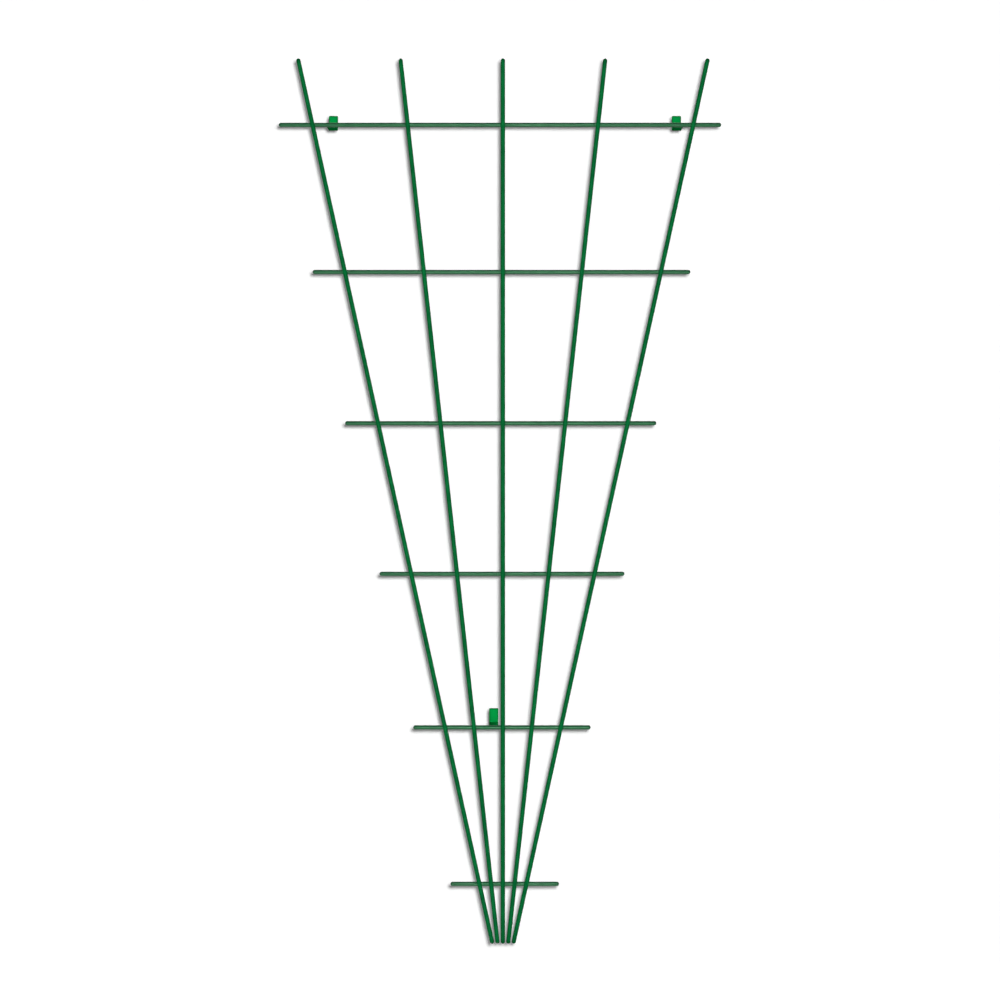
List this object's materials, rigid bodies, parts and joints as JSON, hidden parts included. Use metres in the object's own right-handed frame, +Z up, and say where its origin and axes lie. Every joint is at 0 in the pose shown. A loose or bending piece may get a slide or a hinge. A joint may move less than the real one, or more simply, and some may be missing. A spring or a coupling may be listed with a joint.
{
  "type": "fan trellis",
  "caption": "Fan-shaped wall trellis of green plastic-coated steel rod: spread uprights welded over level crossbars, with bent strip brackets that hold it off the wall.",
  "frame": {"origin": "under the middle of the top crossbar, which is the middle of the trellis's width, in the middle of its depth from the uprights' front to the wall, level with the feet of the uprights", "axes": "+Z up, along the middle upright, which stands at x = +4.9 mm, +X to the right as seen from the front, +Y back towards the wall; the back faces of the three wall plates lie in the plane y = +26.3 mm"},
  "size_m": [0.752, 0.0526, 1.5],
  "materials": {
    "upright_coating": "steel rod in a satin dark green plastic coating",
    "crossbar_coating": "steel rod in a satin dark green plastic coating, a little paler",
    "bracket_coating": "flat steel strip in a satin bright green plastic coating"
  },
  "bodies": {
    "root": {"upright_outer_left": "upright_coating", "upright_inner_left": "upright_coating", "upright_middle": "upright_coating", "upright_inner_right": "upright_coating", "upright_outer_right": "upright_coating", "crossbar_1": "crossbar_coating", "crossbar_2": "crossbar_coating", "crossbar_3": "crossbar_coating", "crossbar_4": "crossbar_coating", "crossbar_5": "crossbar_coating", "crossbar_6": "crossbar_coating", "wall_bracket_upper_left": "bracket_coating", "wall_bracket_upper_right": "bracket_coating", "wall_bracket_lower": "bracket_coating"}
  },
  "joints": []
}
